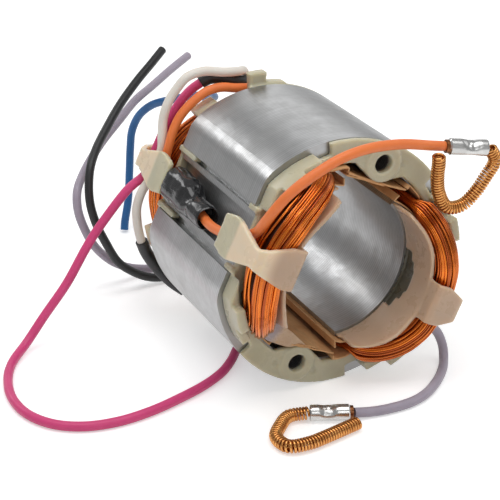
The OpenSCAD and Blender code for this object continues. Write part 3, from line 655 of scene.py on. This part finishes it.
# middle of the winding at a share of its way round: place, outward direction and width
def trackAt(share):
    c = coil
    cornerS = c["sideMid"] - c["trackR"]
    quarter = c["trackR"] * math.pi / 2
    headW = {1: c["frontRise"] - c["coilLow"], -1: c["rearRise"] - c["coilLow"]}
    headMid = {end: stator["faceZ"] + c["coilLow"] + headW[end] / 2 for end in (1, -1)}
    cornerZ = {end: headMid[end] - c["trackR"] for end in (1, -1)}
    side = cornerZ[1] + cornerZ[-1]
    spans = [side, quarter, 2 * cornerS, quarter] * 2
    left = (share % 1.0) * sum(spans)
    k = 0
    while left > spans[k] and k < 7:
        left -= spans[k]
        k += 1
    f = left / spans[k]
    end = 1 if k < 4 else -1
    k %= 4
    if k == 0:
        return end * c["sideMid"], end * mix(-cornerZ[-end], cornerZ[end], f), end, 0.0, c["sideW"]
    if k == 2:
        return end * mix(cornerS, -cornerS, f), end * headMid[end], 0.0, end, headW[end]
    a = (f if k == 1 else 1 + f) * math.pi / 2
    middle = cornerS if k == 1 else -cornerS
    return (end * (middle + c["trackR"] * math.cos(a)), end * (cornerZ[end] + c["trackR"] * math.sin(a)),
            end * math.cos(a), end * math.sin(a), headW[end])


def squared(value):
    return math.copysign(abs(value) ** coil["squareness"], value)


def coilPoint(p, turn, dip):
    c = coil
    half = mix(c["sideW"], p[4], abs(p[3])) / 2
    (u0, uOver), (z0, zOver) = c["pinchU"], c["pinchZ"]
    pinch = c["pinch"] * half * ease((abs(p[0]) - u0) / uOver) * ease((abs(p[1]) - z0) / zOver)  # entering the slot
    reach = (half - dip - pinch) * squared(math.cos(turn)) - pinch
    u = p[0] + p[2] * reach
    z = p[1] + p[3] * reach
    a = u / c["wrapR"]
    shoe = c["shoeX"] * math.cos(a) + math.sqrt(c["shoeR"] ** 2 - (c["shoeX"] * math.sin(a)) ** 2)
    head = ease((abs(z) - stator["faceZ"] - c["headFrom"]) / c["headOver"])
    low = mix(shoe + c["lift"], c["coilIn"], head)
    high = mix(c["slotOut"], c["coilR"], head)
    r = mix(low + dip, high - dip, (1 + squared(math.sin(turn))) / 2)
    return r * math.cos(a), r * math.sin(a), z


def layTurns(rng, side, layer):
    c, count = coil, layer["turns"]
    runs = []
    for k in range(count):
        base = 2 * math.pi * (k + rng.uniform(-c["jitter"], c["jitter"])) / count
        drift = rng.uniform(-c["drift"], c["drift"])
        own = rng.uniform(0, c["ownRange"])
        run = []
        for i in range(layer["stations"]):
            share = i / layer["stations"]
            ang = 2 * math.pi * share
            x, y = math.cos(ang), math.sin(ang)
            sway = noise.noise(Vector((c["sway"] * x + own, c["sway"] * y, own)))
            shared = noise.noise(Vector((c["sharedSway"] * x, c["sharedSway"] * y, c["sharedSeed"] + side)))
            deep = noise.noise(Vector((c["deepSway"] * x, c["deepSway"] * y + own, own * c["deepSeed"])))
            turn = base + drift * math.sin(ang + own) + sway * c["wander"] * 2 * math.pi / count
            turn += c["sharedTurn"] * shared
            dip = c["wireWide"] / 2 + layer["sink"] + layer["rough"] * max(0.0, deep + c["deepBias"])
            x, y, z = coilPoint(trackAt(share), turn, dip)
            run.append(asItLies(side * x, side * y, z))
        runs.append(run)
    return runs


def makeTurns(name, rng, runs, roundness):
    turns = asMesh(wireCurve(name, runs, coil["wireWide"] * mm, roundness, closed=True))
    # each turn is a little lighter or darker than the next
    tone = turns.data.attributes.new("turnTone", "FLOAT", "POINT")
    each = len(turns.data.vertices) // len(runs)
    shades = [rng.random() ** coil["tonePower"] for run in runs]
    for i, value in enumerate(tone.data):
        value.value = shades[min(i // each, len(runs) - 1)]
    return turns


# body under the turns, near black as painted shade between them
def makeCore(name, side):
    around, section = coil["coreAround"], coil["coreSection"]
    dropSelection()
    bpy.ops.mesh.primitive_torus_add(major_segments=around, minor_segments=section, generate_uvs=False)
    core = bpy.context.active_object
    core.name = core.data.name = name
    for v in core.data.vertices:
        i, j = divmod(v.index, section)
        x, y, z = coilPoint(trackAt(i / around), 2 * math.pi * j / section, coil["coreSunk"])
        v.co = asItLies(side * x, side * y, z)
    outward(core)
    return core


for name, side, node in (("coilRightTurns", 1, "coil_right"), ("coilLeftTurns", -1, "coil_left")):
    rng = random.Random(coil["seed"] + side)
    laid = [layTurns(rng, side, layer) for layer in coil["layers"]]
    pieces = [makeTurns(name + layer["ending"], rng, runs, layer["roundness"])
              for layer, runs in zip(coil["layers"], laid)]
    for piece in pieces:
        finishPiece(piece, "copper", node, "enamelled_copper")
    pieces.append(finishPiece(makeCore(name + "Core", side), "core", node, "enamelled_copper"))
    print("coil", name, "faces", [len(piece.data.polygons) for piece in pieces])

# slot papers: a sheet folded round each coil side and left open at the slot's mouth, and a flap across the mouth
paper = {
    "thick": 0.00042, "stub": 1.2, "out": 3.2, "sharp": 0.6, "wrapGrid": (80, 14), "crossGrid": (36, 14),
    "lip": [(10.4, 25.7), (9.95, 24.7)], "shoeR": 23.726, "shoeArc": (85.6, -45.2), "neckX": (26.5, 27.98),
    "neckY": 15.375, "yokeR": 31.925, "yokeArc": (31.0, 37.3), "arcSteps": 16, "mouth": (11.3, 28.4),
    "lipTill": (0.34, 0.12), "yokeFrom": (0.78, 0.1), "ripple": 0.5, "rippleLeast": 0.2,
    "rippleRate": 0.35, "rippleEnd": 4, "crossFrom": 11.4, "crossIn": 0.4, "crossWave": 0.6, "crossRate": 0.3,
    "crossSeeds": (2.0, 8.0), "sag": 0.25, "sagRate": (0.22, 3.0)}
papers = {
    "paperTopRight": {"node": "slot_liner_top_right", "side": (1, 1), "crossY": 27.75, "crossTo": -10.9,
        "lipOut": 2.2, "yokeOut": 3.2},
    "paperTopLeft": {"node": "slot_liner_top_left", "side": (-1, 1), "crossY": 27.3, "crossTo": -3.0,
        "lipOut": 1.3, "yokeOut": 3.2},
    "paperBottomRight": {"node": "slot_liner_bottom_right", "side": (1, -1), "crossY": 27.8, "crossTo": -10.9,
        "lipOut": 3.3, "yokeOut": 3.2},
    "paperBottomLeft": {"node": "slot_liner_bottom_left", "side": (-1, -1), "crossY": 27.25, "crossTo": -4.0,
        "lipOut": 1.4, "yokeOut": 1.5},
}


def arcWalk(middle, radius, start, sweep):
    turns = [math.radians(start + sweep * i / paper["arcSteps"]) for i in range(paper["arcSteps"] + 1)]
    return [(middle + radius * math.cos(a), radius * math.sin(a)) for a in turns]


# the slot's outline from the lip, along the pole shoe, the neck and the yoke, to the mouth
def slotWalk():
    walk = list(paper["lip"])
    walk += arcWalk(coil["shoeX"], paper["shoeR"], *paper["shoeArc"])
    walk += [(x, paper["neckY"]) for x in paper["neckX"]]
    walk += arcWalk(0, paper["yokeR"], *paper["yokeArc"])
    walk.append(paper["mouth"])
    return walk


def alongWalk(walk, share):
    place = share * (len(walk) - 1)
    i = min(int(place), len(walk) - 2)
    return mix(walk[i][0], walk[i + 1][0], place - i), mix(walk[i][1], walk[i + 1][1], place - i)


def bentGrid(name, across, along, place):
    dropSelection()
    bpy.ops.mesh.primitive_grid_add(x_subdivisions=across, y_subdivisions=along, size=1)
    obj = bpy.context.active_object
    obj.name = name
    for v in obj.data.vertices:
        v.co = place(v.co.x + 0.5, v.co.y + 0.5)
    return obj


def thicken(obj, thickness):
    outward(obj)
    applyModifier(obj, "sheet", "SOLIDIFY", thickness=thickness, offset=0)
    bpy.ops.object.shade_smooth_by_angle(angle=paper["sharp"])


def makePaper(name, row):
    walk = slotWalk()
    sx, sy = row["side"]
    own = 3.7 * sx + 1.9 * sy  # its own place in the noise

    def wrapPlace(t, k):
        x, y = alongWalk(walk, t)
        (lipTill, lipOver), (yokeFrom, yokeOver) = paper["lipTill"], paper["yokeFrom"]
        proud = ease((lipTill - t) / lipOver) * (row["lipOut"] - paper["stub"])
        proud += ease((t - yokeFrom) / yokeOver) * (row["yokeOut"] - paper["stub"])
        rate, end = paper["rippleRate"], paper["rippleEnd"] if k > 0.5 else 0
        wave = noise.noise(Vector((x * rate, y * rate, own + end)))
        ripple = paper["ripple"] * wave * min(proud / 2 + paper["rippleLeast"], 1)
        reach = stator["faceZ"] + paper["stub"] + proud + ripple
        return asItLies(sx * x, sy * y, mix(-reach, reach, k))

    def crossPlace(t, k):
        x = mix(paper["crossFrom"], row["crossTo"], t)
        wave = noise.noise(Vector((x * paper["crossRate"], own, paper["crossSeeds"][k > 0.5])))
        sag = noise.noise(Vector((x * paper["sagRate"][0], k * paper["sagRate"][1], own)))
        reach = stator["faceZ"] + paper["out"] - paper["crossIn"] + paper["crossWave"] * wave
        return asItLies(sx * x, sy * (row["crossY"] + paper["sag"] * sag), mix(-reach, reach, k))

    sheet = bentGrid(name, *paper["wrapGrid"], wrapPlace)
    thicken(sheet, paper["thick"])
    cross = bentGrid(name + "Cross", *paper["crossGrid"], crossPlace)
    thicken(cross, paper["thick"])
    pickOnly(sheet)
    cross.select_set(True)
    bpy.ops.object.join()
    finishPiece(sheet, "paper", row["node"], "slot_paper")


for name, row in papers.items():
    makePaper(name, row)
print("slot papers folded:", len(papers))

# clear film tucked under the left coil, over the edge of the moulding
film = {
    "low": [(-17.0, -27.0, 28.6), (-12.9, -28.2, 28.3), (-5.8, -28.7, 28.0), (0.0, -27.1, 28.0)],
    "high": [(-20.1, -24.1, 31.5), (-17.0, -21.2, 31.5), (-10.3, -22.4, 30.0), (-1.1, -26.4, 28.5)],
    "thick": 0.0002, "steps": 12, "rows": 10, "crease": 0.5, "creaseRate": 0.3, "creaseSeed": 5.0}


def makeFilm():
    low = smoothRun(film["low"], film["steps"])
    high = smoothRun(film["high"], film["steps"])

    def place(t, k):
        i = round(t * (len(low) - 1))
        x, y, z = low[i].lerp(high[i], k) / mm
        rate = film["creaseRate"]
        crease = film["crease"] * noise.noise(Vector((x * rate, y * rate, film["creaseSeed"])))
        return asItLies(x, y, z + crease)

    obj = bentGrid("coilFilm", len(low) - 1, film["rows"], place)
    thicken(obj, film["thick"])
    finishPiece(obj, "film", "slot_liner_bottom_left", "slot_paper")


makeFilm()
print("film tucked in")

# contact springs wound on their looped axes
springs = {
    "orangeSpring": {"node": "orange_spring", "turns": 50, "wide": 4.2, "wire": 0.82,
        "route": [(42.2, -41.25, 35.4), (44.2, -41.4, 31.1), (41.7, -40.8, 26.1), (38.6, -40.4, 21.5),
            (34.4, -39.9, 17.9), (29.4, -39.3, 18.2), (26.4, -39.2, 23.4), (25.2, -39.9, 29), (24.8, -40.8, 33.4),
            (24.4, -41.2, 36.1)]},
    "lilacSpring": {"node": "lilac_spring", "turns": 52, "wide": 4.2, "wire": 0.82,
        "route": [(-8, -55.4, -37.8), (-14.1, -56.6, -37.8), (-20.1, -57.8, -37.8), (-26.2, -58.6, -37.8),
            (-32.2, -57.4, -37.8), (-33.3, -51.8, -37.8), (-29.6, -46.9, -37.8), (-24.7, -43.2, -37.8),
            (-19.05, -44.55, -37.5)]},
}
winding = {"perTurn": 16, "axisSteps": 24, "roundness": 2}


def evenRun(run, count):
    marks = [0.0]
    for a, b in zip(run, run[1:]):
        marks.append(marks[-1] + (b - a).length)
    even, k = [], 0
    for i in range(count + 1):
        want = marks[-1] * i / count
        while k < len(run) - 2 and marks[k + 1] < want:
            k += 1
        span = marks[k + 1] - marks[k]
        even.append(run[k].lerp(run[k + 1], (want - marks[k]) / span if span else 0))
    return even


def makeSpring(name, spring):
    steps = spring["turns"] * winding["perTurn"]
    axis = evenRun(smoothRun(spring["route"], winding["axisSteps"]), steps)
    turnR = (spring["wide"] - spring["wire"]) / 2 * mm
    side, helix = None, []
    for i, here in enumerate(axis):
        heading = (axis[min(i + 1, steps)] - axis[max(i - 1, 0)]).normalized()
        if side is None:
            side = heading.cross(Vector((0, 0, 1))).normalized()
        side = (side - heading * side.dot(heading)).normalized()
        a = 2 * math.pi * i / winding["perTurn"]
        helix.append(here + turnR * (math.cos(a) * side + math.sin(a) * heading.cross(side)))
    obj = asMesh(wireCurve(name, [helix], spring["wire"] * mm, winding["roundness"]))
    return finishPiece(obj, "bronze", spring["node"], "spring_bronze")


fittings = {name: makeSpring(name, spring) for name, spring in springs.items()}
print("springs wound:", len(springs))

# shrunk splice sleeve: flattened over the joint, necked, with an open mouth; rings are place, radius and widening
splice = {
    "x": -35.8, "y": -2.1, "rear": -20.2, "sides": 56, "step": 0.45, "sharp": 1.1,
    "rings": [(0.0, 4.35, 3.0), (0.25, 4.6, 3.0), (3.0, 4.66, 3.0), (7.0, 4.55, 2.9), (11.0, 4.62, 2.7),
              (13.6, 4.5, 2.2), (15.0, 4.3, 1.3), (16.4, 4.05, 0.5), (17.6, 3.95, 0.1), (19.0, 4.12, 0.0),
              (21.5, 4.22, 0.0), (24.2, 4.1, 0.0), (25.6, 3.95, 0.0), (26.0, 3.6, 0.0)],
    "mouth": [(25.7, 3.25), (22.0, 3.15), (18.0, 2.9), (14.5, 2.6)], "mouthCrumple": 0.3,
    "flank": 3, "crumple": 0.34, "even": 0.55, "uneven": 0.45, "fold": (0.45, 0.45, 0.3), "fineFold": (1.1, 1.1, 0.55),
    "fineShare": 0.6, "fineSeed": 9, "creases": 5, "creaseTwist": 0.8, "creaseDeep": 0.5,
    "creaseFrom": 10, "creaseTill": 20.5, "creaseOver": 4}


def loftRings(name, sides, rings):
    dropSelection()
    bpy.ops.mesh.primitive_cylinder_add(vertices=sides, radius=1, depth=1, end_fill_type="NOTHING")
    obj = bpy.context.active_object
    obj.name = name
    bpy.ops.object.mode_set(mode="EDIT")
    bpy.ops.mesh.select_mode(type="VERT")
    for step in range(len(rings) - 2):
        bpy.ops.mesh.select_all(action="DESELECT")
        bpy.ops.object.mode_set(mode="OBJECT")
        top = max(v.co.z for v in obj.data.vertices)
        for v in obj.data.vertices:
            v.select = v.co.z > top - 0.01  # the last ring
        bpy.ops.object.mode_set(mode="EDIT")
        bpy.ops.mesh.extrude_region_move(TRANSFORM_OT_translate={"value": (0, 0, 1)})
    bpy.ops.object.mode_set(mode="OBJECT")
    low = min(v.co.z for v in obj.data.vertices)
    for v in obj.data.vertices:
        v.co = rings[int(round(v.co.z - low))](math.atan2(v.co.y, v.co.x))
    return obj


def makeSplice():
    c = splice
    profile = []
    for start, end in zip(c["rings"], c["rings"][1:]):
        n = max(1, int((end[0] - start[0]) / c["step"]))
        profile += [(*(mix(a, b, i / n) for a, b in zip(start, end)), 1.0) for i in range(n)]
    profile.append((*c["rings"][-1], 1.0))
    profile += [(z, r, 0.0, c["mouthCrumple"]) for z, r in c["mouth"]]

    def ring(z, r, w, crumple):
        def place(ang):
            x, y = r * math.cos(ang), r * math.sin(ang)
            y += (w if math.sin(ang) > 0 else 0) * min(1, abs(math.sin(ang)) * c["flank"])
            (fx, fy, fz), (gx, gy, gz) = c["fold"], c["fineFold"]
            fold = noise.noise(Vector((x * fx, y * fy, z * fz)))
            fold += c["fineShare"] * noise.noise(Vector((x * gx, y * gy, z * gz + c["fineSeed"])))
            crease = math.sin(ang * c["creases"] + z * c["creaseTwist"]) * ease((z - c["creaseFrom"]) / c["creaseOver"])
            crease *= ease((c["creaseTill"] - z) / c["creaseOver"]) * c["creaseDeep"]
            k = 1 - c["crumple"] / r * crumple * (c["even"] + c["uneven"] * fold + crease)
            return asItLies(c["x"] + x * k, c["y"] + y * k, c["rear"] + z)
        return place

    obj = loftRings("spliceSleeve", c["sides"], [ring(*row) for row in profile])
    closeEnds(obj, c["sharp"])
    finishPiece(obj, "splice", "splice_sleeve", "black_sleeve")


makeSplice()
print("splice sleeve shrunk")

# tinned ferrules, squeezed once in the middle
ferrules = {
    "orangeFerrule": {"node": "orange_ferrule", "ends": ((28.8, -37.6, 37), (41.2, -41, 35.5)),
        "squeeze": (0.3, -0.6, 0.75)},
    "lilacFerrule": {"node": "lilac_ferrule", "ends": ((-6.6, -50, -37.5), (-18.5, -44.8, -37.5)),
        "squeeze": (0.1, -0.5, 0.85)},
}
ferrule = {
    "r": 2.48, "wall": 0.45, "sides": 40, "steps": 44, "sharp": 0.7, "strandTill": 1.0, "dent": 0.95,
    "backDent": 0.25, "dentAt": 0.6, "dentWide": 0.16, "dentPower": 1.5, "dentEdge": 4, "ridge": 0.5,
    "ridgeRate": (0.55, 1.1), "ridgeBack": 0.3,
    "leadEnd": [(0.0, 0.1), (0.1, 0.0), (0.4, 0.0), (0.8, 0.0), (1.05, 0.0)],  # place and how much narrower
    "rim": 0.12, "rimIn": 0.05, "rimSqueeze": 0.4, "mouth": (1.0, 2.0, 3.0), "mouthSqueeze": 0.2}


def makeFerrule(name, row):
    a, b = (Vector(p) for p in row["ends"])
    heading = (b - a).normalized()
    length = (b - a).length
    press = Vector(row["squeeze"])
    press = (press - heading * press.dot(heading)).normalized()
    flank = heading.cross(press)
    outer, inner = ferrule["r"], ferrule["r"] - ferrule["wall"]
    # rings from the lead's end to the rim and back in: place, radius and how far the squeeze reaches
    steps = [(length * i / ferrule["steps"], outer, 1.0) for i in range(ferrule["steps"] + 1)]
    steps[:len(ferrule["leadEnd"])] = [(d, inner - less, 1.0) for d, less in ferrule["leadEnd"]]
    steps[-1] = (length, outer - ferrule["rim"], 1.0)
    steps.append((length - ferrule["rimIn"], inner, ferrule["rimSqueeze"]))
    steps += [(length - d, inner, ferrule["mouthSqueeze"]) for d in ferrule["mouth"]]

    def ring(along, r, k):
        def place(ang):
            c, s = math.cos(ang), math.sin(ang)
            rate, turnRate = ferrule["ridgeRate"]
            pinch = math.exp(-((along / length - ferrule["dentAt"]) / ferrule["dentWide"]) ** ferrule["dentEdge"])
            hollow = ferrule["dent"] * pinch * max(0.0, c) ** ferrule["dentPower"]
            hollow += ferrule["backDent"] * pinch * max(0.0, -c)
            rough = abs(noise.noise(Vector((along * rate, c * turnRate, s * turnRate))))
            ridge = ferrule["ridge"] * rough * pinch * max(0.0, c + ferrule["ridgeBack"])
            rr = min(r - k * (hollow - ridge), r)
            return (a + heading * along + (press * c + flank * s) * rr) * mm
        return place

    obj = loftRings(name, ferrule["sides"], [ring(*step) for step in steps])
    closeEnds(obj, ferrule["sharp"])
    finishPiece(obj, "tin", row["node"], "tin")
    obj.data.materials.append(looks["shadedStrand"])
    # the bare strands in the ferrule's mouth are real copper, darkened with painted shade
    for face in obj.data.polygons:  # bare strands show where the lead goes in
        if (face.center / mm - a).dot(heading) < ferrule["strandTill"]:
            face.material_index = 1
    return obj


fittings.update({name: makeFerrule(name, row) for name, row in ferrules.items()})
print("ferrules crimped:", len(ferrules))

# end frames: copies of the CAD solids with their edges rounded as a mould leaves them
mouldings = {"frontMoulding": "front_end_frame", "rearMoulding": "rear_end_frame"}
rounding = {"grid": 0.0004, "factor": 0.5, "rounds": 5}


def makeMoulding(name, node):
    obj = bpy.data.objects.new(name, nodes[node].data.copy())
    bpy.context.collection.objects.link(obj)
    weld(obj)
    applyModifier(obj, "grid", "REMESH", mode="VOXEL", voxel_size=rounding["grid"])
    applyModifier(obj, "soften", "SMOOTH", factor=rounding["factor"], iterations=rounding["rounds"])
    bpy.ops.object.shade_smooth()
    obj.data.materials.clear()
    return finishPiece(obj, "mould", node, "moulding")


for name, node in mouldings.items():
    print("moulding", name, "faces", len(makeMoulding(name, node).data.polygons))

# CAD solids that keep their shape take the finished materials
carried = {"lamination_stack": "steel", "splice_crimp": "tin"}
for node, look in carried.items():
    nodes[node].data.materials.clear()
    nodes[node].data.materials.append(looks[look])
print("carried solids finished:", len(carried))

for name, lead in leads.items():
    tuple(Vector(lead["route"][0]) * 0.001)
print("cords declared:", len(leads))

# floor, backdrop light and lamps
studio = {"floorZ": -0.0401, "floor": 3.0, "floorTone": (0.86, 0.86, 0.86), "floorRough": 0.9, "lift": 0.42,
          "sky": 0.37, "aim": (0, 0, 0)}
lamps = {
    "topLamp": {"place": (-0.05, -0.1, 0.85), "size": (0.9, 0.5), "power": 4.2},
    "rightLamp": {"place": (0.85, 0.05, 0.35), "size": (0.5, 0.5), "power": 0.6},
    "frontLamp": {"place": (-0.15, -0.75, 0.45), "size": (0.4, 0.3), "power": 0.7},
    "backLamp": {"place": (-0.33, 0.8, 0.52), "size": (0.3, 0.3), "power": 1.15},
    "wideLamp": {"place": (0.4, 0.78, 0.42), "size": (0.5, 0.35), "power": 0.6},
}


def makeFloor():
    dropSelection()
    bpy.ops.mesh.primitive_plane_add(size=studio["floor"], location=(0, 0, studio["floorZ"]))
    floor = bpy.context.active_object
    floor.name = "floor"
    mat, tree, shader = newMaterial("paleFloor")
    setValues(shader, {"Base Color": (*studio["floorTone"], 1), "Roughness": studio["floorRough"],
                       "Specular IOR Level": 0.0, "Emission Color": (1, 1, 1, 1)})
    rays = addNode(tree, "ShaderNodeLightPath").outputs
    seen = joined(tree, "ADD", rays["Is Camera Ray"], rays["Is Glossy Ray"])
    seen = joined(tree, "ADD", seen, rays["Is Transmission Ray"])
    lift = joined(tree, "MULTIPLY", seen, studio["lift"], clamp=False)
    feed(tree, lift, shader.inputs["Emission Strength"])
    floor.data.materials.append(mat)


def makeLamp(name, lamp):
    data = bpy.data.lights.new(name, "AREA")
    data.shape = "RECTANGLE"
    data.size, data.size_y = lamp["size"]
    data.energy = lamp["power"]
    obj = bpy.data.objects.new(name, data)
    obj.location = lamp["place"]
    obj.rotation_euler = (Vector(studio["aim"]) - Vector(lamp["place"])).to_track_quat("-Z", "Y").to_euler()
    bpy.context.collection.objects.link(obj)


def makeSky():
    world = bpy.data.worlds.new("studioSky")
    bpy.context.scene.world = world
    world.use_nodes = True
    setValues(world.node_tree.nodes["Background"], {"Color": (1, 1, 1, 1), "Strength": studio["sky"]})


makeFloor()
for name, lamp in lamps.items():
    makeLamp(name, lamp)
makeSky()
bpy.context.scene.view_settings.view_transform = "Standard"
print("studio lit:", len(lamps), "lamps")
